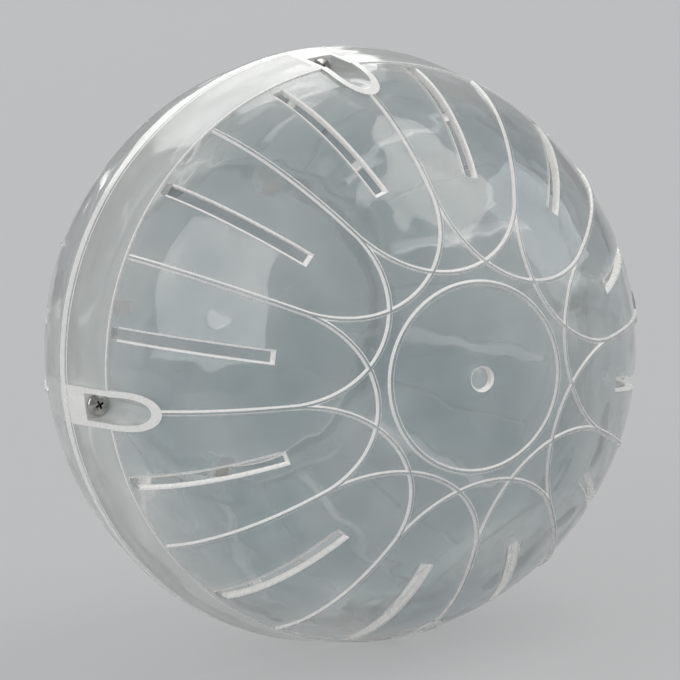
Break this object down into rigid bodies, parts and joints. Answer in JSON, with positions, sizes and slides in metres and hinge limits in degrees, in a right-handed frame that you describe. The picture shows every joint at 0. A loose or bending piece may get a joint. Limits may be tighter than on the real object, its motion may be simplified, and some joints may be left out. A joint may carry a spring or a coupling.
{
  "type": "hamster ball",
  "caption": "Clear plastic exercise ball for a hamster: two ribbed, slotted domes screwed together at a lapped seam, with a round lift-off door at the rear pole.",
  "frame": {"origin": "centre of the ball, on the seam plane of the two domes", "axes": "+Y along the polar axis towards the door, -Y towards the front pole, +X and +Z through screws on the seam"},
  "size_m": [0.12, 0.1182, 0.12],
  "materials": {
    "clear_plastic": "clear moulded polypropylene, slightly milky, glossy",
    "door_plastic": "clear moulded polypropylene, slightly milky, glossy",
    "nickel": "nickel plated, bright"
  },
  "bodies": {
    "ball": {"front_shell": "clear_plastic", "back_shell": "clear_plastic", "screw_left": "nickel", "screw_top": "nickel", "screw_right": "nickel", "screw_bottom": "nickel"},
    "door": {"door": "door_plastic"}
  },
  "joints": [
    {"name": "door_pull", "type": "slide", "parent": "ball", "child": "door", "axis": [0, 1, 0], "range_m": [0, 0.06]}
  ]
}
